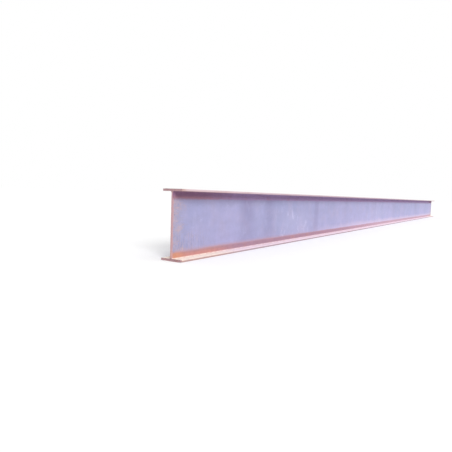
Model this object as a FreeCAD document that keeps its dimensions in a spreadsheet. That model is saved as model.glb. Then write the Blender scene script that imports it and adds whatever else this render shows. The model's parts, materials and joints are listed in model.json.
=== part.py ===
"""Hot-rolled steel I-beam: one straight length of parallel-flange stock with square sawn ends.

The beam stands on its bottom flange. X runs along the stock, Y across the flanges and Z up the
web, with the origin on the floor under the middle of the bottom flange. Lengths are millimetres.
"""
import FreeCAD
import Part
import Sketcher
import os

# Alias, value and meaning of each driving dimension.
DRIVING_DIMENSIONS = (
    ("section_depth", 406.6, "depth over both flanges"),
    ("flange_width", 143.3, "width of each flange"),
    ("web_thickness", 7.9, "thickness of the web"),
    ("flange_thickness", 12.9, "thickness of each flange, the same from root to toe"),
    ("root_radius", 10.2, "rolled fillet where the web meets a flange"),
    ("toe_radius", 1.5, "edge rounding that the rolls leave on a flange toe"),
    ("stock_length", 10000.0, "sawn length"),
)
SHEET = "sizes"
PARTS_FOLDER = "parts"
EDGE_TOLERANCE = 0.001

# The outline's corners, anticlockwise from the left end of the bottom face. Corner N starts
# line N, and a line's two ends are its sketch points 1 and 2.
CORNER_COUNT = 12
LINE_START = 1
(BOTTOM_LEFT, BOTTOM_RIGHT, LOWER_TOE_RIGHT, LOWER_ROOT_RIGHT, UPPER_ROOT_RIGHT, UPPER_TOE_RIGHT,
 TOP_RIGHT, TOP_LEFT, UPPER_TOE_LEFT, UPPER_ROOT_LEFT, LOWER_ROOT_LEFT, LOWER_TOE_LEFT) = range(CORNER_COUNT)
BOTTOM_FACE, TOP_FACE = BOTTOM_LEFT, TOP_RIGHT
LOWER_TOE, UPPER_TOE = BOTTOM_RIGHT, UPPER_TOE_RIGHT
ROOT_CORNERS = (LOWER_ROOT_RIGHT, UPPER_ROOT_RIGHT, UPPER_ROOT_LEFT, LOWER_ROOT_LEFT)
TOE_CORNERS = tuple(corner for corner in range(CORNER_COUNT) if corner not in ROOT_CORNERS)
X_AXIS, Y_AXIS = -1, -2


def make_size_sheet(doc):
    """The spreadsheet that drives the model: a name, a value and a note in each row."""
    sheet = doc.addObject("Spreadsheet::Sheet", SHEET)
    for row, (alias, value, note) in enumerate(DRIVING_DIMENSIONS, start=1):
        sheet.set(f"A{row}", alias)
        sheet.set(f"B{row}", str(value))
        sheet.set(f"C{row}", note)
        sheet.setAlias(f"B{row}", alias)
    doc.recompute()
    return sheet


def outline_corners(sheet):
    """The sharp-cornered section's twelve corners as (across, up) pairs."""
    half_flange = sheet.flange_width / 2
    half_web = sheet.web_thickness / 2
    levels = (0, sheet.flange_thickness, sheet.section_depth - sheet.flange_thickness, sheet.section_depth)
    floor, lower_shelf, upper_shelf, crown = levels
    right = (
        (half_flange, floor),
        (half_flange, lower_shelf),
        (half_web, lower_shelf),
        (half_web, upper_shelf),
        (half_flange, upper_shelf),
        (half_flange, crown),
    )
    left = [(-across, up) for across, up in reversed(right)]
    return [left[-1], *right, *left[:-1]]


def origin_plane(body, role):
    """One of the body's own origin planes, found by its role."""
    return next(plane for plane in body.Origin.OriginFeatures if plane.Role == role)


def draw_section(body, sheet):
    """The I-shaped outline, drawn sharp and fully constrained, with its sizes bound to the sheet."""
    sketch = body.newObject("Sketcher::SketchObject", "section")
    sketch.AttachmentSupport = [(origin_plane(body, "YZ_Plane"), "")]
    sketch.MapMode = "FlatFace"

    corners = [FreeCAD.Vector(across, up, 0) for across, up in outline_corners(sheet)]
    for start, end in zip(corners, corners[1:] + corners[:1]):
        sketch.addGeometry(Part.LineSegment(start, end), False)
    for line in range(CORNER_COUNT):
        following = (line + 1) % CORNER_COUNT
        sketch.addConstraint(Sketcher.Constraint("Coincident", line, 2, following, LINE_START))

    for line in range(BOTTOM_RIGHT, CORNER_COUNT, 2):
        sketch.addConstraint(Sketcher.Constraint("Vertical", line))
    for line in (LOWER_TOE_RIGHT, UPPER_ROOT_RIGHT, UPPER_TOE_LEFT, LOWER_ROOT_LEFT):
        sketch.addConstraint(Sketcher.Constraint("Horizontal", line))
    mirrored = ((BOTTOM_LEFT, BOTTOM_RIGHT), (TOP_LEFT, TOP_RIGHT), (LOWER_ROOT_LEFT, LOWER_ROOT_RIGHT))
    for left, right in mirrored:
        sketch.addConstraint(Sketcher.Constraint("Symmetric", left, LINE_START, right, LINE_START, Y_AXIS))
    upper_roots = (UPPER_ROOT_LEFT, LINE_START, UPPER_ROOT_RIGHT, LINE_START)
    sketch.addConstraint(Sketcher.Constraint("Horizontal", *upper_roots))
    sketch.addConstraint(Sketcher.Constraint("PointOnObject", BOTTOM_LEFT, LINE_START, X_AXIS))
    sketch.addConstraint(Sketcher.Constraint("Equal", BOTTOM_FACE, TOP_FACE))
    sketch.addConstraint(Sketcher.Constraint("Equal", LOWER_TOE, UPPER_TOE))

    measured = (
        ("flange_width", "DistanceX", BOTTOM_LEFT, BOTTOM_RIGHT, sheet.flange_width),
        ("flange_thickness", "DistanceY", BOTTOM_RIGHT, LOWER_TOE_RIGHT, sheet.flange_thickness),
        ("web_thickness", "DistanceX", LOWER_ROOT_LEFT, LOWER_ROOT_RIGHT, sheet.web_thickness),
        ("section_depth", "DistanceY", BOTTOM_LEFT, TOP_LEFT, sheet.section_depth),
    )
    for alias, direction, first, second, value in measured:
        index = sketch.addConstraint(
            Sketcher.Constraint(direction, first, LINE_START, second, LINE_START, value)
        )
        sketch.renameConstraint(index, alias)
        sketch.setExpression(f"Constraints.{alias}", f"{SHEET}.{alias}")
    return sketch


def extrude_stock(body, section):
    """The section carried along X, half the length each way from the origin."""
    stock = body.newObject("PartDesign::Pad", "stock")
    stock.Profile = section
    stock.SideType = "Symmetric"
    stock.setExpression("Length", f"{SHEET}.stock_length")
    return stock


def long_edges(shape, places):
    """Names of the edges that run along X through the given (across, up) places."""
    names = []
    for number, edge in enumerate(shape.Edges, start=1):
        box = edge.BoundBox
        lengthwise = box.YLength < EDGE_TOLERANCE and box.ZLength < EDGE_TOLERANCE
        at_place = any(
            abs(box.Center.y - across) < EDGE_TOLERANCE and abs(box.Center.z - up) < EDGE_TOLERANCE
            for across, up in places
        )
        if lengthwise and at_place:
            names.append(f"Edge{number}")
    return names


def round_edges(body, base, name, corners, sheet, alias):
    """Rounds the long edges at these outline corners of base, with the radius in cell alias."""
    body.Document.recompute()
    outline = outline_corners(sheet)
    edges = long_edges(base.Shape, [outline[corner] for corner in corners])
    if len(edges) != len(corners):
        raise RuntimeError(f"{name}: found {len(edges)} of {len(corners)} edges")
    fillet = body.newObject("PartDesign::Fillet", name)
    fillet.Base = (base, edges)
    fillet.setExpression("Radius", f"{SHEET}.{alias}")
    return fillet


def make_beam(doc, sheet):
    """The whole beam, one rolled piece."""
    body = doc.addObject("PartDesign::Body", "beam")
    body.Label = "beam"
    stock = extrude_stock(body, draw_section(body, sheet))
    roots = round_edges(body, stock, "root_fillets", ROOT_CORNERS, sheet, "root_radius")
    round_edges(body, roots, "toe_edges", TOE_CORNERS, sheet, "toe_radius")
    body.Placement = FreeCAD.Placement()
    return body


def check_document(doc):
    """Stops the build if any object of the document failed to recompute."""
    for item in doc.Objects:
        if "Invalid" in item.State or "Error" in item.State:
            raise RuntimeError(f"{item.Label} failed: {item.State}")


def export_piece(piece):
    """Writes one sub-part to parts/LABEL.step after testing that it is one closed solid."""
    shape = piece.Shape
    if shape.isNull() or not shape.isValid() or len(shape.Solids) != 1:
        raise RuntimeError(f"{piece.Label} is not one valid solid")
    shape.exportStep(os.path.join(PARTS_FOLDER, f"{piece.Label}.step"))
    box = shape.BoundBox
    print(f"{piece.Label}: {box.XLength:.1f} x {box.YLength:.1f} x {box.ZLength:.1f} mm, {shape.Volume:.0f} mm3")


def main():
    doc = FreeCAD.newDocument("steel_i_beam")
    sheet = make_size_sheet(doc)
    pieces = [make_beam(doc, sheet)]
    doc.recompute()
    check_document(doc)
    os.makedirs(PARTS_FOLDER, exist_ok=True)
    for piece in pieces:
        export_piece(piece)


main()
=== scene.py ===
# %% [markdown]
# # A ten metre length of hot-rolled steel I-beam
#
# A rolled beam is one piece of steel with one section from end to end, so it is a good first lesson in
# carrying a profile along a path. What makes it look real is its skin: blue-grey mill scale on the web, rust
# that creeps out of the roots where water stands, dusty flanges and two sawn ends that rusted first, with
# some light and shade painted into those colours. This file makes that skin with mathematics only, a cell at
# a time.

# %% Open the frame
import json
import math

import bpy
import numpy as np
from mathutils import Matrix, Vector


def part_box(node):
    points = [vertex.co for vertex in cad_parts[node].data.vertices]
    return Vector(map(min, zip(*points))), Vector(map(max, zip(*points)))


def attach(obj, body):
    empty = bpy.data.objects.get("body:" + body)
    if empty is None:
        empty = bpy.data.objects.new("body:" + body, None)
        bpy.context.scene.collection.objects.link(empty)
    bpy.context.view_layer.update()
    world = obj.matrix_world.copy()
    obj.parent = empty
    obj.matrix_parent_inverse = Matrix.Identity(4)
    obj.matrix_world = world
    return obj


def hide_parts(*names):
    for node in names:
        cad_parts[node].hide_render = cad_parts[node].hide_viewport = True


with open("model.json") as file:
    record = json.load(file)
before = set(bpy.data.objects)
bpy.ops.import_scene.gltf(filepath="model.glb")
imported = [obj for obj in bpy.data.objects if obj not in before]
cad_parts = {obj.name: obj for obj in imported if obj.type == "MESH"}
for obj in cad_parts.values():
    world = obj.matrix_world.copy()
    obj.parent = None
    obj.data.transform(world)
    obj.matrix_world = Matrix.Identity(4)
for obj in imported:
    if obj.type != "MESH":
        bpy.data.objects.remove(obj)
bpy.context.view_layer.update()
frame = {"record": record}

# %% [markdown]
# ## The sizes
#
# The overall box comes from the engineering model, and so do the web and flange thickness, which
# are read from its mounting faces. The two rolled radii are the only sizes kept here. Everything
# is in metres: X runs along the beam, Y across the flanges and Z up the web.

# %% Read the section
low_corner, high_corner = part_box("beam")
LENGTH, WIDTH, DEPTH = high_corner - low_corner
FACES = {mount["name"]: mount["pos_m"] for mount in frame["record"]["mounts"]}
WEB = 2 * abs(FACES["web_face_left"][1])
FLANGE = FACES["lower_shelf_left"][2]
ROOT_RADIUS = 0.0102
TOE_RADIUS = 0.0015
MM = 0.001
print(f"section {DEPTH:.4f} deep, {WIDTH:.4f} wide, web {WEB:.4f}, flange {FLANGE:.4f}, length {LENGTH:.2f}")

# %% [markdown]
# ## The camera
#
# The camera comes first, because every later choice is judged through it. It stands close to one
# end and looks along the beam, so the section is shown at the left and the web runs away to the
# right. Its place is given in beam depths from the near end, which keeps the view when the
# section changes.

# %% Place the camera
EYE_BEFORE_END = 4.156 * DEPTH
EYE_BESIDE_TOES = 3.542 * DEPTH
EYE_HEIGHT = 0.945 * DEPTH
HEADING, PITCH, ROLL = 55.9, -4.45, 1.95
LENS = 32.22
SENSOR = 36.0

lens = bpy.data.cameras.new("camera")
lens.lens, lens.sensor_width = LENS, SENSOR
lens.clip_start, lens.clip_end = 0.05, 500.0
camera = bpy.data.objects.new("camera", lens)
bpy.context.scene.collection.objects.link(camera)
eye = Vector((-LENGTH / 2 - EYE_BEFORE_END, -WIDTH / 2 - EYE_BESIDE_TOES, EYE_HEIGHT))
turn = (Matrix.Rotation(math.radians(-HEADING), 4, "Z")
        @ Matrix.Rotation(math.radians(90 + PITCH), 4, "X")
        @ Matrix.Rotation(math.radians(ROLL), 4, "Z"))
camera.matrix_world = Matrix.Translation(eye) @ turn
bpy.context.scene.camera = camera
print("camera at", [round(c, 3) for c in eye])

# %% [markdown]
# ## The outline of the section
#
# A rolled section is flats joined by arcs: a small rounding at each toe and a large fillet in
# each root. One quarter of the outline holds all of it. The upper half is the lower one turned
# over, and the left side is the right one mirrored, so the four quarters can't drift apart.

# %% Work out one side of the outline
TOE_STEPS, TOE_FLAT_STEPS, SHELF_STEPS, FILLET_STEPS = 3, 2, 7, 6
WEB_STEPS, ROOT_STEPS = 12, 4


def straight(start, end, steps):
    """Points from start to end in even steps, the end left out."""
    share = np.arange(steps)[:, None] / steps
    return np.array(start) * (1 - share) + np.array(end) * share


def arc(centre, radius, start, sweep, steps):
    """Points centre + radius * (cos a, sin a), a running from start through sweep degrees."""
    angle = np.radians(start + sweep * np.arange(steps) / steps)
    return np.array(centre) + radius * np.stack([np.cos(angle), np.sin(angle)], axis=1)


flat_end = WIDTH / 2 - TOE_RADIUS
fillet_start = WEB / 2 + ROOT_RADIUS
lower_quarter = np.concatenate([
    arc((flat_end, TOE_RADIUS), TOE_RADIUS, -90, 90, TOE_STEPS),
    straight((WIDTH / 2, TOE_RADIUS), (WIDTH / 2, FLANGE - TOE_RADIUS), TOE_FLAT_STEPS),
    arc((flat_end, FLANGE - TOE_RADIUS), TOE_RADIUS, 0, 90, TOE_STEPS),
    straight((flat_end, FLANGE), (fillet_start, FLANGE), SHELF_STEPS),
    arc((fillet_start, FLANGE + ROOT_RADIUS), ROOT_RADIUS, -90, -90, FILLET_STEPS),
    straight((WEB / 2, FLANGE + ROOT_RADIUS), (WEB / 2, DEPTH / 2), WEB_STEPS),
])
upper_quarter = np.array([0, DEPTH]) + lower_quarter[::-1] * np.array([1, -1])
side = np.concatenate([lower_quarter, [[WEB / 2, DEPTH / 2]], upper_quarter])
TOE_TOP = 2 * TOE_STEPS + TOE_FLAT_STEPS
FILLET_FOOT = TOE_TOP + SHELF_STEPS
print("one side of the outline has", len(side), "points")

# %% [markdown]
# The outer flats of the flanges join the two sides. Their points stand above the points of the
# shelf and the root, so the sawn end can later be closed with plain rows of quads.

# %% Close the outline
columns = np.concatenate([
    -side[TOE_TOP:FILLET_FOOT + 1, 0],
    np.linspace(-fillet_start, fillet_start, ROOT_STEPS + 1)[1:-1],
    side[TOE_TOP:FILLET_FOOT + 1, 0][::-1],
])
bottom_flat = np.stack([columns[1:-1], np.zeros(len(columns) - 2)], axis=1)
top_flat = np.stack([columns[1:-1], np.full(len(columns) - 2, DEPTH)], axis=1)[::-1]
mirrored = side * np.array([-1, 1])
outline = np.concatenate([bottom_flat, side, top_flat, mirrored[::-1]])

ahead, behind = np.roll(outline, -1, axis=0), np.roll(outline, 1, axis=0)
tangent = ahead - behind
outward = np.stack([tangent[:, 1], -tangent[:, 0]], axis=1)
outward /= np.linalg.norm(outward, axis=1)[:, None]
enclosed = 0.5 * np.sum(outline[:, 0] * ahead[:, 1] - ahead[:, 0] * outline[:, 1])
print(f"outline of {len(outline)} points encloses {enclosed * 1e4:.2f} square centimetres")

# %% [markdown]
# ## Stations along the beam
#
# The saw leaves a burr a millimetre or two wide, while the middle of the beam changes only over
# hands' breadths. So the rings stand close together at the ends and spread out towards the
# middle. The spacing grows in proportion to the distance from the end, up to a limit, and the
# number of rings passed is the running sum of one over the spacing.

# %% Space the stations
FIRST_GAP = 1.2 * MM
GAP_GROWTH = 0.06
WIDEST_GAP = 20 * MM
COUNTING_STEPS = 20000

distance = np.linspace(0, LENGTH / 2, COUNTING_STEPS + 1)
gap = np.minimum(FIRST_GAP + GAP_GROWTH * distance, WIDEST_GAP)
count = np.concatenate([[0], np.cumsum(np.diff(distance) / gap[1:])])
half_stations = np.interp(np.linspace(0, count[-1], round(count[-1]) + 1), count, distance)
from_middle = LENGTH / 2 - half_stations
stations = np.concatenate([-from_middle, from_middle[-2::-1]])
print(len(stations), "stations, from", round(half_stations[1] * 1000, 2), "mm apart at the ends")

# %% [markdown]
# ## What rolling, sawing and handling did to the shape
#
# A real beam is never dead straight in its thin parts. The web waves by about a millimetre, the
# flanges tip a little, the toes swell and shrink, and chains and forklifts nick the toes. All of
# it is written as smooth functions of the place along the beam, added to the plain shape, so it
# is real relief that shows in the mesh and not only in the shading.

# %% Waves made of sines
rng = np.random.default_rng(406)


def waves(along, lengths, share=0.6):
    """A sum of sines of those wavelengths, each weaker by share, with phases drawn once."""
    phases = rng.uniform(0, 2 * math.pi, len(lengths))
    weights = share ** np.arange(len(lengths))
    angle = 2 * math.pi * along[..., None] / np.array(lengths) + phases
    return (np.sin(angle) * weights).sum(-1) / weights.sum()


def hump(distance, reach):
    """1 at distance 0, falling smoothly to 0 at reach: one minus smoothstep."""
    share = np.clip(np.abs(distance) / reach, 0, 1)
    return 1 - share * share * (3 - 2 * share)


# %% Carry the outline along the stations
WEB_WAVE, FLANGE_TIP, TOE_SWELL = 0.9 * MM, 0.35 * MM, 0.3 * MM

x = np.repeat(stations[:, None], len(outline), axis=1)
y = np.repeat(outline[None, :, 0], len(stations), axis=0)
z = np.repeat(outline[None, :, 1], len(stations), axis=0)
out_y = np.repeat(outward[None, :, 0], len(stations), axis=0)
out_z = np.repeat(outward[None, :, 1], len(stations), axis=0)

on_web = hump(z - DEPTH / 2, DEPTH / 2 - FLANGE) * (np.abs(y) < fillet_start)
bow = waves(x + 0.3 * z, (1.9, 0.83, 0.47, 0.29)) * on_web
reach = np.clip((np.abs(y) - fillet_start) / (flat_end - fillet_start), 0, 1) ** 2
tip = waves(x + 9 * np.sign(y) + 17 * (z > DEPTH / 2), (2.3, 0.71, 0.33)) * reach
tip = np.where(z < DEPTH / 2, np.abs(tip), tip)
swell = waves(x + 5 * np.sign(y) + 11 * (z > DEPTH / 2), (0.61, 0.23, 0.117)) * reach ** 4
y = y + WEB_WAVE * bow + TOE_SWELL * swell * np.sign(y)
z = z + FLANGE_TIP * tip
print("web waves by", round(float(np.abs(WEB_WAVE * bow).max() / MM), 2), "mm")

# %% [markdown]
# Nicks come from chains and lifting clamps, so they sit on the toes and are a few centimetres
# long. The near lower corner took a harder knock: its tip is pushed back and turned up.

# %% Nick the toes
NICKS = 34
NICK_DEPTHS = (0.4 * MM, 1.5 * MM)
NICK_LENGTHS = (0.018, 0.055)
KNOCKED_CORNERS = ((-1, -1, 0, 7 * MM), (1, 1, 1, 4 * MM), (-1, 1, 1, 3 * MM))
CORNER_REACH = 30 * MM
NICK_WIDTH = 4 * MM
PUSHED_BACK, PUSHED_IN, PUSHED_UP = 0.8, 0.6, 0.25

for _ in range(NICKS):
    place = rng.uniform(-LENGTH / 2, LENGTH / 2)
    flange_side, upper = rng.choice([-1, 1]), rng.integers(2)
    depth, length = rng.uniform(*NICK_DEPTHS), rng.uniform(*NICK_LENGTHS)
    near_toe = hump(WIDTH / 2 - flange_side * y, NICK_WIDTH) * ((z > DEPTH / 2) == upper)
    y = y - flange_side * depth * near_toe * hump(x - place, length)
for end, flange_side, upper, depth in KNOCKED_CORNERS:
    across = np.hypot(x - end * LENGTH / 2, y - flange_side * WIDTH / 2)
    push = depth * hump(across, CORNER_REACH) * ((z > DEPTH / 2) == upper)
    x = x - PUSHED_BACK * end * push
    y = y - PUSHED_IN * flange_side * push
    z = z + (PUSHED_UP if upper == 0 else -PUSHED_UP) * push
print(NICKS, "nicks and", len(KNOCKED_CORNERS), "knocked corners")

# %% [markdown]
# The saw drags a lip of steel over the edges that it leaves last. The lip stands out along the
# outline's own outward direction, dies away within a few millimetres of the cut, and comes and
# goes along the edge.

# %% Raise the burr at the sawn ends
BURR = 0.55 * MM
BURR_REACH = 5 * MM
CUT_WANDER = 0.5 * MM

from_end = LENGTH / 2 - np.abs(stations)
lip = np.clip(waves(3 * y + 2 * z + np.sign(x), (0.11, 0.043, 0.019)) + 0.35, 0, 1)
lift = BURR * lip * hump(from_end, BURR_REACH)[:, None]
y, z = y + out_y * lift, z + out_z * lift
z = np.maximum(z, 0)
skin = np.stack([x, y, z], axis=2)
print("burr stands up to", round(float(lift.max() / MM), 2), "mm")

# %% [markdown]
# ## Closing the sawn ends
#
# An I can't be closed with one fan of triangles, but it splits into three blocks of rows: the
# bottom flange, the web and the top flange. Each row starts on one side of the outline and ends
# on the other, and the points between are spread evenly. The blocks share their joining rows, so
# the end is one skin with no seam.

# %% Build the rows of one end
FLAT = len(bottom_flat)
SIDE = len(side)
left_ids = FLAT + np.arange(SIDE)
right_ids = 2 * FLAT + 2 * SIDE - 1 - np.arange(SIDE)
bottom_ids = np.arange(FLAT)
top_ids = FLAT + SIDE + np.arange(FLAT)[::-1]
spread = (columns + flat_end) / (2 * flat_end)
root_spread = np.linspace(0, 1, ROOT_STEPS + 1)


def row_between(points, right, left, share, first_id):
    """New points on the line from right to left at the inner shares, with their new ids."""
    inner = share[1:-1, None]
    made = points[right] * (1 - inner) + points[left] * inner
    return made, first_id + np.arange(len(made))


def flange_rows(points, upper, made):
    """The id grid of one flange: outer flat, rows up the toe, then shelf, root and shelf."""
    step = (lambda j: SIDE - 1 - j) if upper else (lambda j: j)
    flat = top_ids if upper else bottom_ids
    grid = [np.concatenate([[right_ids[step(0)]], flat, [left_ids[step(0)]]])]
    for j in range(1, TOE_TOP):
        right, left = right_ids[step(j)], left_ids[step(j)]
        new, ids = row_between(points, right, left, spread, made["next"])
        made["points"].append(new)
        made["next"] += len(new)
        grid.append(np.concatenate([[right], ids, [left]]))
    shelf = [step(j) for j in range(TOE_TOP, FILLET_FOOT + 1)]
    right, left = right_ids[shelf[-1]], left_ids[shelf[-1]]
    new, ids = row_between(points, right, left, root_spread, made["next"])
    made["points"].append(new)
    made["next"] += len(new)
    grid.append(np.concatenate([right_ids[shelf], ids, left_ids[shelf][::-1]]))
    return np.array(grid), np.concatenate([[right], ids, [left]])


def end_faces(points, first_id):
    """New points and quads that close one end ring: two flange blocks and the web between."""
    made = {"points": [], "next": first_id}
    lower, lower_root = flange_rows(points, False, made)
    upper, upper_root = flange_rows(points, True, made)
    web = [lower_root]
    for j in range(FILLET_FOOT + 1, SIDE - 1 - FILLET_FOOT):
        new, ids = row_between(points, right_ids[j], left_ids[j], root_spread, made["next"])
        made["points"].append(new)
        made["next"] += len(new)
        web.append(np.concatenate([[right_ids[j]], ids, [left_ids[j]]]))
    web.append(upper_root)
    return np.concatenate(made["points"]), [lower, np.array(web), upper[::-1]]


def quads(grid):
    """The four ids of each cell of a grid of ids, turning the same way as the rows go up."""
    return np.stack([grid[:-1, :-1], grid[:-1, 1:], grid[1:, 1:], grid[1:, :-1]], axis=-1).reshape(-1, 4)


# %% Assemble the mesh
SHARP_DEGREES = 40

ring = len(outline)
ids = np.arange(len(stations) * ring).reshape(len(stations), ring)
wrapped = np.concatenate([ids, ids[:, :1]], axis=1)
points, faces = [skin.reshape(-1, 3)], [quads(wrapped)]
next_id = len(stations) * ring
for end_row, turned in ((0, True), (len(stations) - 1, False)):
    extra, blocks = end_faces(skin[end_row], next_id)
    for block in blocks:
        # New ids pass through, and ids on the ring move to that station's own.
        shifted = np.where(block < ring, block + end_row * ring, block)
        faces.append(quads(shifted)[:, ::-1] if turned else quads(shifted))
    points.append(extra)
    next_id += len(extra)
points, faces = np.concatenate(points), np.concatenate(faces)

wander = waves(points[:, 1] * 2 + points[:, 2], (0.29, 0.11, 0.047))
at_end = np.abs(points[:, 0]) > LENGTH / 2 - 0.1 * MM
points[:, 0] -= np.sign(points[:, 0]) * CUT_WANDER * np.abs(wander) * at_end

mesh = bpy.data.meshes.new("rolled_beam")
mesh.from_pydata(points.tolist(), [], faces.tolist())
mesh.validate()
mesh.polygons.foreach_set("use_smooth", np.ones(len(mesh.polygons), bool))
mesh.set_sharp_from_angle(angle=math.radians(SHARP_DEGREES))
beam = bpy.data.objects.new("rolled_beam", mesh)
bpy.context.scene.collection.objects.link(beam)
print("the beam has", len(mesh.vertices), "vertices and", 2 * len(mesh.polygons), "triangles")

# %% Check that the skin is closed and faces outwards
a, b, c, d = (points[faces[:, k]] for k in range(4))
volume = (np.einsum("ij,ij->i", a, np.cross(b, c)) + np.einsum("ij,ij->i", a, np.cross(c, d))).sum() / 6
edges = np.sort(np.stack([faces, np.roll(faces, -1, axis=1)], axis=-1).reshape(-1, 2), axis=1)
uses = np.unique(edges, axis=0, return_counts=True)[1]
print(f"volume {volume:.5f} cubic metres, edges used twice: {bool((uses == 2).all())}")

# %% [markdown]
# ## A small language for finishes
#
# A finish is arithmetic on fields: numbers that change from place to place. Wrapping a node's
# socket in a class with operators lets that arithmetic be written as arithmetic, and each
# operator adds its Math node. Colours go through Mix nodes, since a Math node would turn them
# grey. Every other node comes from one method.

# %% Fields


class Field:
    """One output socket. Arithmetic with numbers or other fields adds Math nodes."""

    def __init__(self, finish, socket):
        self.finish, self.socket = finish, socket

    def math(self, operation, first, second=0.0):
        return self.finish.node("ShaderNodeMath", {"operation": operation}, {0: first, 1: second})

    def __add__(self, other):
        return self.math("ADD", self, other)

    def __radd__(self, other):
        return self.math("ADD", other, self)

    def __sub__(self, other):
        return self.math("SUBTRACT", self, other)

    def __rsub__(self, other):
        return self.math("SUBTRACT", other, self)

    def __mul__(self, other):
        return self.math("MULTIPLY", self, other)

    def __rmul__(self, other):
        return self.math("MULTIPLY", other, self)

    def __pow__(self, other):
        return self.math("POWER", self, other)

    def __abs__(self):
        return self.math("ABSOLUTE", self)

    def most(self, other):
        return self.math("MAXIMUM", self, other)

    def least(self, other):
        return self.math("MINIMUM", self, other)


print("fields can be added, taken away, multiplied, raised and compared")

# %% Finishes


class Finish:
    """The node tree of a material or a world, under construction."""

    def __init__(self, owner):
        owner.use_nodes = True
        self.owner, self.tree = owner, owner.node_tree
        self.tree.nodes.clear()

    def node(self, kind, settings=None, values=None, output=0):
        """Adds a node, sets its settings, then its sockets, and returns one output as a Field."""
        node = self.tree.nodes.new(kind)
        for name, value in (settings or {}).items():
            setattr(node, name, value)
        for name, value in (values or {}).items():
            if isinstance(value, Field):
                self.tree.links.new(value.socket, node.inputs[name])
            else:
                node.inputs[name].default_value = value
        return Field(self, node.outputs[output]) if node.outputs else None

    def on_object(self):
        """Keeps the place on the object as a vector, and returns its x, y and z."""
        self.place = self.node("ShaderNodeTexCoord", output="Object")
        return [self.node("ShaderNodeSeparateXYZ", {}, {0: self.place}, k) for k in range(3)]

    def step(self, field, low, high):
        """0 below low and 1 above high, smooth between. With low above high it falls instead."""
        settings = {"interpolation_type": "SMOOTHSTEP"}
        if isinstance(low, (int, float)) and isinstance(high, (int, float)) and low > high:
            return 1 - self.step(field, high, low)
        return self.node("ShaderNodeMapRange", settings, {"Value": field, "From Min": low, "From Max": high})

    def noise(self, scale, detail=3.0, roughness=0.5, stretch=(1, 1, 1), shift=0.0, place=None):
        """Cloudy noise from 0 to 1. scale is in cycles a metre, and stretch multiplies it by axis."""
        where = self.node("ShaderNodeMapping", {}, {"Vector": place or self.place, "Scale": stretch,
                                                    "Location": (shift, 1.7 * shift, 2.3 * shift)})
        return self.node("ShaderNodeTexNoise", {}, {"Vector": where, "Scale": scale, "Detail": detail,
                                                    "Roughness": roughness})

    def blend(self, share, under, over):
        """The colour under where share is 0 and over where it is 1."""
        return self.node("ShaderNodeMix", {"data_type": "RGBA"}, {0: share, 6: under, 7: over}, 2)

    def shade(self, colour, field):
        """The colour times a grey field."""
        grey = self.node("ShaderNodeCombineXYZ", {}, {0: field, 1: field, 2: field})
        return self.node("ShaderNodeMix", {"data_type": "RGBA", "blend_type": "MULTIPLY"},
                         {0: 1.0, 6: colour, 7: grey}, 2)


def colour(red, green, blue):
    """A display colour of 0 to 255 as the linear colour that shaders use."""
    share = np.array([red, green, blue]) / 255
    linear = np.where(share <= 0.04045, share / 12.92, ((share + 0.055) / 1.055) ** 2.4)
    return (*linear.tolist(), 1.0)


print("the language of finishes is ready")

# %% [markdown]
# ## Where each finish goes
#
# The rolled skin is one material, because rust runs over the edges of a flange without stopping.
# Soft masks built from the place on the beam say how much of each finish shows: the scale in the middle of
# the web, the rust bands beside both roots, with painted shade in the upper one, the dusty upper faces, with
# painted light from above, the toes, and the stretch beside each cut that weathers fastest.

# %% The masks of the rolled skin
skin_finish = Finish(bpy.data.materials.new("rolled_skin"))
f = skin_finish
along_beam, over_flange, height_up = f.on_object()
across = abs(over_flange)
from_cut = LENGTH / 2 - abs(along_beam)
above_shelf = height_up - FLANGE
below_shelf = (DEPTH - FLANGE) - height_up
to_flange = above_shelf.least(below_shelf)
facing = f.node("ShaderNodeTexCoord", output="Normal")
facing_up = f.node("ShaderNodeSeparateXYZ", {}, {0: facing}, 2)

from_first_cut = along_beam + LENGTH / 2
low_down = f.step(height_up, 0.75 * DEPTH, 0.15 * DEPTH)
upper_half = f.step(height_up, DEPTH / 2 - 10 * MM, DEPTH / 2 + 10 * MM)

cloud = f.noise(7.0, 4)
mottle = f.noise(38.0, 5, 0.6, shift=3)
grain = f.noise(420.0, 3, 0.6, shift=5)
patch = f.noise(23.0, 5, 0.65, stretch=(0.5, 1, 1), shift=23)
runs = f.noise(1.0, 4, 0.65, stretch=(120, 1, 14), shift=31)

LOWER_BAND, UPPER_BAND = 38 * MM, 44 * MM
band_height = LOWER_BAND + (UPPER_BAND - LOWER_BAND) * upper_half
ragged = 9 * MM * (f.noise(5.0, 3, shift=11) - 0.5) + 14 * MM * (mottle - 0.5) + 6 * MM * (runs - 0.5)
fuzz = 5 * MM + 6 * MM * f.step(from_cut, 0.40, 0.05)
root_rust = f.step(to_flange, band_height + ragged + fuzz, band_height + ragged - fuzz)
web_side = f.step(across, 16.5 * MM, 12.5 * MM) * f.step(to_flange, -5 * MM, -1 * MM)
flange_side = 1 - web_side
looks_up = f.step(facing_up, 0.55, 0.85)
toe = f.step(across, WIDTH / 2 - 3.0 * MM, WIDTH / 2 - 1.8 * MM)
rim = f.step(to_flange, -5 * MM, -1.5 * MM)
print("masks: root rust, web side, upper faces, toes and their rims")

# %% [markdown]
# ## Mill scale
#
# Mill scale is the oxide that forms while the steel is still red hot. It is blue-grey with a lilac cast,
# smooth and faintly metallic. Here it has broad darker upright bands at listed places, a fine grain and a
# few scuffs, with painted shade under the upper flange and a painted sheen towards the far end.

# %% Colour the scale
SCALE_LILAC = colour(178, 175, 214)
SCALE_BLUE = colour(168, 169, 208)
SCALE_ROSE = colour(186, 177, 210)
SHADE_VIOLET = colour(158, 150, 196)
SHADE_MARKS = ((0.81, 0.14, 1.0), (1.14, 0.12, 0.8), (2.125, 0.085, 1.0), (3.05, 0.16, 0.35),
               (4.30, 0.20, 0.40), (5.62, 0.20, 0.30), (6.35, 0.25, 0.35), (7.72, 0.25, 0.40))

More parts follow.
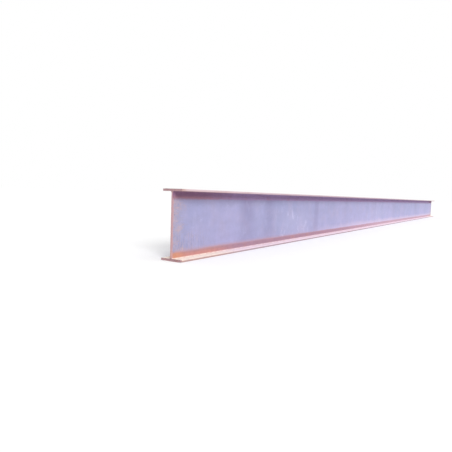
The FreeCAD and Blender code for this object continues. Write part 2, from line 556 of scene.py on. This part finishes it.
panel = f.noise(1.3, 3, 0.5, stretch=(1, 0.2, 0.5), shift=13)
scale = f.blend(f.step(panel, 0.35, 0.60), SCALE_BLUE, SCALE_LILAC)
scale = f.blend(0.45 * f.step(cloud, 0.45, 0.70), scale, SCALE_ROSE)

drifting = from_first_cut + 0.03 * (cloud - 0.5)
marks = 0.0
for place, half_width, strength in SHADE_MARKS:
    marks = marks + strength * f.step(abs(drifting - place), half_width, 0.15 * half_width)
streaks = f.step(f.noise(1.0, 3, 0.6, stretch=(75, 1, 2.5), shift=17), 0.52, 0.72)
smears = f.noise(1.0, 4, 0.6, stretch=(7, 1, 19), shift=59)
# Painted sheen: the web is painted paler towards the far end, most of all low down, and the root bands a
# little paler too.
painted_far_sheen = f.step(from_first_cut, 0.9, 5.2)
# Painted shade: under the upper flange the web is painted darker, more so near the first cut, and the
# upright bands are painted darker there as well.
under_flange = f.step(below_shelf, 105 * MM, 35 * MM)
marks = marks * (1 + 0.20 * under_flange - 0.25 * low_down)
painted_shade_under_flange = under_flange * (0.15 + 0.10 * f.step(from_first_cut, 1.6, 0.9))

tone = (1.0 - 0.12 * marks - 0.05 * streaks + 0.22 * (smears - 0.5) + painted_far_sheen * (0.06 + 0.09 * low_down)
        - painted_shade_under_flange + 0.16 * (mottle - 0.5) + 0.14 * (grain - 0.5))
scale = f.blend((0.30 * marks).least(1.0), f.shade(scale, tone), SHADE_VIOLET)
print("mill scale with", len(SHADE_MARKS), "upright shades")

# %% [markdown]
# A stretch of the web was rubbed by slings and carries pale scuffs and long thin scratches. A
# line of even width comes from a cloud: it is the set of places where the cloud is very near one
# chosen value, like a contour line on a map. Here the cloud is drawn out along a slant first.

# %% Scuff and scratch the web
SCUFF_PALE = colour(210, 207, 238)
RUBBED = ((1.62, 0.46, 1.0), (4.45, 0.60, 0.7))
SLANT = 0.45
rubbed = 0.0
for place, half_length, strength in RUBBED:
    rubbed = rubbed + strength * f.step(abs(from_first_cut - place), half_length, 0.3 * half_length)
rubbed = rubbed * f.step(height_up, 0.80 * DEPTH, 0.45 * DEPTH)
scuffs = f.step(f.noise(13.0, 5, 0.7, stretch=(1.2, 1, 0.7), shift=19), 0.53, 0.64)
slanted = f.node("ShaderNodeCombineXYZ", {}, {0: along_beam + SLANT * height_up,
                                              2: height_up - SLANT * along_beam})
contour = abs(f.noise(1.0, 3, 0.6, stretch=(3, 1, 34), shift=61, place=slanted) - 0.5)
scratches = f.step(contour, 0.012, 0.004) * f.step(f.noise(6.0, 3, shift=67), 0.55, 0.62)
pale = (0.22 * rubbed).most(scuffs * (0.12 + 0.70 * rubbed)).most(scratches * (0.25 + 0.5 * rubbed))
scale = f.blend(pale, scale, SCUFF_PALE)
print("rubbed at", [place for place, *_ in RUBBED], "metres from the first cut")

# %% [markdown]
# ## Rust
#
# Rust is warm, dull and never even: brown where it is old, orange where it is fresh, pink where
# dust lies on it. It starts at the sawn ends and in the roots, where water is held longest.
# The band under the upper flange is rust with the flange's shade painted in: darkest next to the flange, and
# further from the cut it turns to scale in painted shade.

# %% Colour the rust in the roots
RUST_ROSE = colour(188, 154, 168)
RUST_RED = colour(176, 134, 138)
RUST_MAUVE = colour(165, 131, 147)
RUST_PALE = colour(191, 163, 178)
RUST_SALMON = colour(194, 136, 132)
RUST_ORANGE = colour(202, 142, 118)
SHADED_RUST_PLUM = colour(150, 110, 138)
SHADED_RUST_WINE = colour(162, 118, 134)
SHADED_SCALE_VIOLET = colour(165, 139, 178)

along = from_cut + 0.5 * (f.noise(1.9, 3, shift=47) - 0.5)
beside_shelf = f.step(to_flange, 0.85 * LOWER_BAND, 0.35 * LOWER_BAND)
lower_band = f.blend(f.step(along, 0.35, 0.85), f.blend(beside_shelf, RUST_RED, RUST_SALMON), RUST_MAUVE)
lower_band = f.blend(0.8 * f.step(from_first_cut, 1.6, 5.5), lower_band, RUST_PALE)
fresh = f.step(from_cut + 0.10 * (patch - 0.5), 0.17, 0.04) * (1 - 0.65 * f.step(along_beam, 0, 4))
lower_band = f.blend(fresh.most(0.30 * f.step(patch, 0.55, 0.75)), lower_band, RUST_ORANGE)
lower_band = f.blend(0.6 * f.step(to_flange, LOWER_BAND - 12 * MM, LOWER_BAND), lower_band, RUST_ROSE)
# Painted shade: the upper band is darker next to the flange, and further from the cut it fades to violet
# scale in painted shade.
shaded_upper_band = f.blend(f.step(to_flange, UPPER_BAND - 24 * MM, UPPER_BAND - 8 * MM), SHADED_RUST_PLUM, SHADED_RUST_WINE)
shaded_scale_share = f.step(along, 0.15, 0.70) * (1 - 0.45 * f.step(patch, 0.5, 0.7))
shaded_upper_band = f.blend(shaded_scale_share, shaded_upper_band, SHADED_SCALE_VIOLET)
band = f.blend(upper_half, lower_band, shaded_upper_band)
band = f.shade(band, 1.0 + 0.36 * (mottle - 0.5) + 0.12 * (runs - 0.5) + 0.2 * (grain - 0.5) + 0.10 * painted_far_sheen)

# %% [markdown]
# Rain splashes grit up from the lower flange, so a pale film lies on the web above the band, and rust dust
# makes a rose halo there near the first cut. Below the upper band the web is painted a darker mauve, the
# soft edge of the upper flange's shadow, more so towards the far end.

# %% Lay the splashed film, the halo and the painted penumbra
SPLASH_PALE = colour(223, 207, 230)
PENUMBRA_MAUVE = colour(158, 137, 172)
ROSE_HALO = colour(188, 160, 178)
splash_edge = 105 * MM + 80 * MM * (cloud - 0.5) + 50 * MM * (mottle - 0.5)
splash = f.step(from_first_cut, 1.3, 4.2) * f.step(above_shelf, splash_edge, 42 * MM)
halo = f.step(above_shelf, LOWER_BAND + 24 * MM, LOWER_BAND) * f.step(from_first_cut, 2.6, 0.8)
# Painted shadow edge: the web just below the upper band is painted darker mauve, more so towards the far
# end.
painted_penumbra = f.step(below_shelf, UPPER_BAND + 34 * MM, UPPER_BAND - 2 * MM)
painted_penumbra = painted_penumbra * (0.20 + 0.55 * f.step(from_first_cut, 3.5, 9.5))
web_colour = f.blend(0.72 * splash, scale, SPLASH_PALE)
web_colour = f.blend(0.55 * halo, web_colour, ROSE_HALO)
web_colour = f.blend(painted_penumbra, web_colour, PENUMBRA_MAUVE)

# %% [markdown]
# Beside each cut the scale flakes off. The flakes are a cloud pushed up by a slope that falls
# away from the cut, so they crowd at the cut and thin out over two hands' breadths.

# %% Weather the web beside each cut
WORN_REACH = 0.22
SPECK_REACH = (0.30, 0.10)
DRIP_REACH = (0.38, 0.14)
DRIP_HEIGHT = (0.20, 0.10)
BURNT_STRIP = (16 * MM, 7 * MM)
WEAR_GREY = colour(172, 165, 190)
WEAR_PINK = colour(196, 173, 182)
SPECK_RUST = colour(182, 150, 152)
SPECK_BLUE = colour(128, 130, 168)
FRECKLE = colour(172, 128, 134)
CUT_SALMON = colour(200, 158, 160)
crowding = f.step(from_cut, WORN_REACH, -0.02)
flakes = f.step(0.6 * f.noise(90.0, 4, 0.7, shift=7) + 0.4 * patch + 0.40 * crowding, 0.62, 0.88)
worn = f.blend(f.step(patch, 0.46, 0.64), WEAR_GREY, WEAR_PINK)
worn = f.blend(0.7 * f.step(f.noise(80.0, 4, 0.7, shift=71), 0.54, 0.66), worn, SPECK_RUST)
specks = f.step(f.noise(120.0, 4, 0.65, shift=29) + 0.16 * crowding, 0.72, 0.80)
freckles = f.step(f.noise(210.0, 2, 0.5, shift=73) + 0.10 * low_down, 0.74, 0.80)
dripping = f.step(from_cut, *DRIP_REACH) * f.step(height_up, *DRIP_HEIGHT)
drips = dripping * f.step(runs, 0.50, 0.62)
dark_drips = dripping * f.step(f.noise(1.0, 4, 0.65, stretch=(100, 1, 20), shift=53), 0.50, 0.60)

web_colour = f.blend(0.45 * freckles, web_colour, FRECKLE)
web_colour = f.blend(0.50 * drips, web_colour, WEAR_PINK)
web_colour = f.blend(0.85 * flakes, web_colour, worn)
web_colour = f.blend(0.34 * dark_drips, web_colour, SPECK_BLUE)
web_colour = f.blend(0.7 * specks * f.step(from_cut, *SPECK_REACH), web_colour, SPECK_BLUE)
web_colour = f.blend(root_rust, web_colour, band)
burnt = f.step(from_cut + 8 * MM * (mottle - 0.5), *BURNT_STRIP)
web_colour = f.blend(0.85 * burnt * (1 - upper_half * root_rust), web_colour, CUT_SALMON)
print("the web has scale, root rust, splashes, worn ends and drips")

# %% [markdown]
# ## The flanges
#
# Dust and dried rain make every face that looks up pale, and light from above is painted into that colour
# too, so these faces are almost cream, with rust freckling through. The toes take every knock and are a dull
# rose with brighter rubbed lengths; the upper toe also carries a painted highlight along its length. The
# outer faces keep islands of scale in the rust, and on the top one the dust, with its painted light, lies
# thinly over both.

# %% Dust the faces that look up, with painted light from above
DUST_AND_LIGHT_CREAM = colour(254, 240, 226)
DUST_AND_LIGHT_ROSE = colour(250, 230, 238)
DUST_DIRT = colour(214, 186, 176)
# Painted light: faces that look up are painted near white, part dust and part the light falling on them from
# above.
dust_and_painted_light = f.blend(f.step(along, 0.30, 0.85), DUST_AND_LIGHT_CREAM, DUST_AND_LIGHT_ROSE)
dust_and_painted_light = f.blend(0.30 * f.step(patch, 0.52, 0.72), dust_and_painted_light, RUST_ROSE)
dirt = f.step(f.noise(95.0, 5, 0.7, stretch=(0.6, 1, 1), shift=79), 0.56, 0.70)
dust_and_painted_light = f.blend(0.45 * dirt, dust_and_painted_light, DUST_DIRT)
dust_and_painted_light = f.blend(0.50 * freckles, dust_and_painted_light, RUST_SALMON)
gutter = f.step(across, fillet_start + 5 * MM, fillet_start - 2 * MM)
dust_and_painted_light = f.blend(0.35 * gutter * f.step(mottle, 0.42, 0.58), dust_and_painted_light, RUST_SALMON)
inside = f.step(abs(to_flange), 9 * MM, 6 * MM)
print("dust on the shelves, with rust in the gutters")

# %% Colour the outer faces and the toes
OUTER_RUST = colour(180, 138, 134)
OUTER_DARK = colour(158, 116, 118)
TOE_ROSE = colour(196, 160, 154)
TOE_MAUVE = colour(180, 156, 166)
TOE_HIGHLIGHT_PALE = colour(222, 200, 206)

islands = f.step(0.7 * f.noise(11.0, 6, 0.7, stretch=(0.6, 1, 1), shift=37) + 0.3 * mottle, 0.46, 0.58)
outer = f.blend(f.step(patch, 0.40, 0.62), OUTER_RUST, OUTER_DARK)
outer = f.blend(0.55 * f.step(mottle, 0.52, 0.68), outer, RUST_ORANGE)
outer = f.blend(0.70 * islands, outer, scale)
outer = f.blend(looks_up * (0.25 + 0.5 * f.step(cloud, 0.38, 0.66)), outer, dust_and_painted_light)
rubbed_toe = f.step(f.noise(4.0, 4, 0.6, stretch=(1, 0, 0), shift=83), 0.40, 0.62)
toe_colour = f.blend(f.step(along, 0.3, 0.9), TOE_ROSE, TOE_MAUVE)
toe_colour = f.blend(0.5 * f.step(patch, 0.5, 0.7), toe_colour, RUST_RED)
# Painted highlight: the upper toe is painted pale along its length, brighter on rubbed lengths, fading at
# its lower rim and beyond two metres from the first cut.
toe_highlight_and_rubbing = upper_half * f.step(from_cut, 0.0, 0.06) * (0.45 + 0.35 * rubbed_toe) * (1 - 0.7 * rim)
toe_highlight_and_rubbing = toe_highlight_and_rubbing * (1 - 0.35 * f.step(from_first_cut, 0.9, 2.0))
toe_colour = f.blend(toe_highlight_and_rubbing, toe_colour, TOE_HIGHLIGHT_PALE)
# The upper rim of the lower toe takes the same dust and painted light as the shelf.
toe_colour = f.blend(0.8 * rim * (1 - upper_half), toe_colour, dust_and_painted_light)

skin_colour = f.blend(flange_side, web_colour, outer)
skin_colour = f.blend(0.65 * inside * flange_side, skin_colour, f.blend(0.35, band, scale))
skin_colour = f.blend(looks_up * inside, skin_colour, dust_and_painted_light)
skin_colour = f.blend(toe, skin_colour, toe_colour)
flange_tone = 1.0 + flange_side * (0.14 * (mottle - 0.5) + 0.14 * (grain - 0.5))
skin_colour = f.shade(skin_colour, flange_tone)
rusty = root_rust.most(0.8 * flakes).most(flange_side * (1 - 0.75 * islands))
print("outer faces and toes are coloured")

# %% Finish the rolled skin
pits = f.noise(260.0, 5, 0.65, shift=41)
roll_lines = f.noise(1.0, 3, 0.6, stretch=(1.5, 260, 260), shift=43)
height = 0.30 * rusty * pits + 0.10 * (1 - rusty) * roll_lines + 0.08 * grain
relief = f.node("ShaderNodeBump", {}, {"Strength": 0.6, "Distance": MM, "Height": height})
surface = f.node("ShaderNodeBsdfPrincipled", {}, {
    "Base Color": skin_colour,
    "Roughness": 0.46 + 0.10 * mottle + 0.34 * rusty,
    "Metallic": 0.30 * (1 - rusty),
    "Normal": relief,
})
f.node("ShaderNodeOutputMaterial", {}, {"Surface": surface})
print("rolled skin uses", len(f.tree.nodes), "nodes")

# %% [markdown]
# ## The sawn ends
#
# A large cold saw leaves shallow arcs, all struck from the blade's own centre, so the distance
# from that centre is the one coordinate that the marks need. Bare cut steel rusts within days,
# rosier on the thin web and browner on the flanges, with fresh orange where the web meets the
# lower flange.

# %% Colour the sawn ends
BLADE_CENTRE = (-0.62, 1.05)
TOOTH_PITCH = 2.6 * MM
CUT_ROSE = colour(197, 156, 163)
CUT_BROWN = colour(178, 142, 146)
CUT_DARK = colour(134, 97, 90)
CUT_ORANGE = colour(216, 158, 132)

cut_finish = Finish(bpy.data.materials.new("sawn_ends"))
f = cut_finish
cut_across, cut_up = f.on_object()[1:]
blotch = f.noise(45.0, 5, 0.65, shift=2)
fine = f.noise(380.0, 4, 0.6, shift=4)
from_blade = ((cut_across - BLADE_CENTRE[0]) ** 2 + (cut_up - BLADE_CENTRE[1]) ** 2) ** 0.5
arcs = f.node("ShaderNodeMath", {"operation": "SINE"},
              {0: (from_blade + 0.8 * MM * blotch) * (2 * math.pi / TOOTH_PITCH)})
in_web = f.step(abs(cut_up - DEPTH / 2), DEPTH / 2 - FLANGE - 4 * MM, DEPTH / 2 - FLANGE - 14 * MM)
base = f.blend(in_web, CUT_BROWN, CUT_ROSE)
base = f.blend(0.8 * f.step(cut_up, 0.075, 0.015) * in_web, base, CUT_ORANGE)
base = f.blend(0.75 * f.step(blotch, 0.56, 0.68) * (1 - 0.8 * in_web), base, CUT_DARK)
base = f.blend(0.5 * f.step(blotch, 0.45, 0.30), base, CUT_ORANGE)
base = f.shade(base, 1.0 + 0.16 * (fine - 0.5) + 0.04 * arcs)
relief = f.node("ShaderNodeBump", {}, {"Strength": 0.7, "Distance": MM, "Height": 0.12 * arcs + 0.25 * fine})
surface = f.node("ShaderNodeBsdfPrincipled", {}, {
    "Base Color": base, "Roughness": 0.74 + 0.16 * blotch, "Metallic": 0.0, "Normal": relief})
f.node("ShaderNodeOutputMaterial", {}, {"Surface": surface})
print("sawn ends use", len(f.tree.nodes), "nodes")

# %% Give the finishes to the beam
mesh.materials.append(skin_finish.owner)
mesh.materials.append(cut_finish.owner)
skin_quads = (len(stations) - 1) * ring
kinds = (np.arange(len(mesh.polygons)) >= skin_quads).astype(np.int32)
mesh.polygons.foreach_set("material_index", kinds)
mesh.update()
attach(beam, "root")
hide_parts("beam")
print(int(kinds.sum()), "faces are sawn, the rest rolled")

# %% [markdown]
# ## Floor and light
#
# A long object needs a light that doesn't fade along it, so the key is a soft sun rather than a
# lamp. It comes from the open side, a little above, and the top flange shades the root below it.
# A pale world fills the rest. The floor and the world look white to the camera, and the
# floor still takes the beam's shadow.

# %% Lay the floor
FLOOR_HALF = 120.0
FLOOR_DROP = 0.2 * MM
FLOOR_SEEN = colour(255, 255, 255)
FLOOR_BOUNCE = colour(214, 213, 216)

floor_mesh = bpy.data.meshes.new("floor")
signs = ((-1, -1), (1, -1), (1, 1), (-1, 1))
floor_corners = [(FLOOR_HALF * a, FLOOR_HALF * b, -FLOOR_DROP) for a, b in signs]
floor_mesh.from_pydata(floor_corners, [], [(0, 1, 2, 3)])
floor = bpy.data.objects.new("floor", floor_mesh)
bpy.context.scene.collection.objects.link(floor)
floor_finish = Finish(bpy.data.materials.new("pale_floor"))
f = floor_finish
seen = f.node("ShaderNodeLightPath", output="Is Camera Ray")
shown = f.node("ShaderNodeBsdfDiffuse", {}, {"Color": f.blend(seen, FLOOR_BOUNCE, FLOOR_SEEN)})
f.node("ShaderNodeOutputMaterial", {}, {"Surface": shown})
floor_mesh.materials.append(floor_finish.owner)

# %% Set the lights
WORLD_FILL, BACKDROP_WHITE = 0.66, 1.0
KEY_STRENGTH, KEY_SOFTNESS = 0.55, 24.0
KEY_FROM = Vector((-0.50, -0.72, 0.46))
TOP_STRENGTH, TOP_SOFTNESS = 0.14, 40.0
TOP_FROM = Vector((-0.1, -0.2, 0.97))


def add_sun(name, source, strength, softness):
    """A sun whose light comes from source. Strength 1 lights a facing surface to its own colour."""
    light = bpy.data.lights.new(name, "SUN")
    light.energy = math.pi * strength
    light.angle = math.radians(softness)
    sun = bpy.data.objects.new(name, light)
    sun.rotation_mode = "QUATERNION"
    sun.rotation_quaternion = source.to_track_quat("Z", "Y")
    bpy.context.scene.collection.objects.link(sun)


add_sun("key", KEY_FROM, KEY_STRENGTH, KEY_SOFTNESS)
add_sun("top", TOP_FROM, TOP_STRENGTH, TOP_SOFTNESS)

# %% Fill the scene from all round
bpy.context.scene.world = bpy.data.worlds.new("world")
f = Finish(bpy.context.scene.world)
fill = f.node("ShaderNodeBackground", {}, {"Color": (1, 1, 1, 1), "Strength": WORLD_FILL})
backdrop = f.node("ShaderNodeBackground", {}, {"Color": (1, 1, 1, 1), "Strength": BACKDROP_WHITE})
glossy, glassy, looked_at = (f.node("ShaderNodeLightPath", output=f"Is {kind} Ray")
                             for kind in ("Glossy", "Transmission", "Camera"))
sky = f.node("ShaderNodeMixShader", {}, {0: looked_at.most(glossy).most(glassy), 1: fill, 2: backdrop})
f.node("ShaderNodeOutputWorld", {}, {"Surface": sky})
bpy.context.scene.view_settings.view_transform = "Standard"
print("lit by a key, a top light and a fill of", WORLD_FILL)
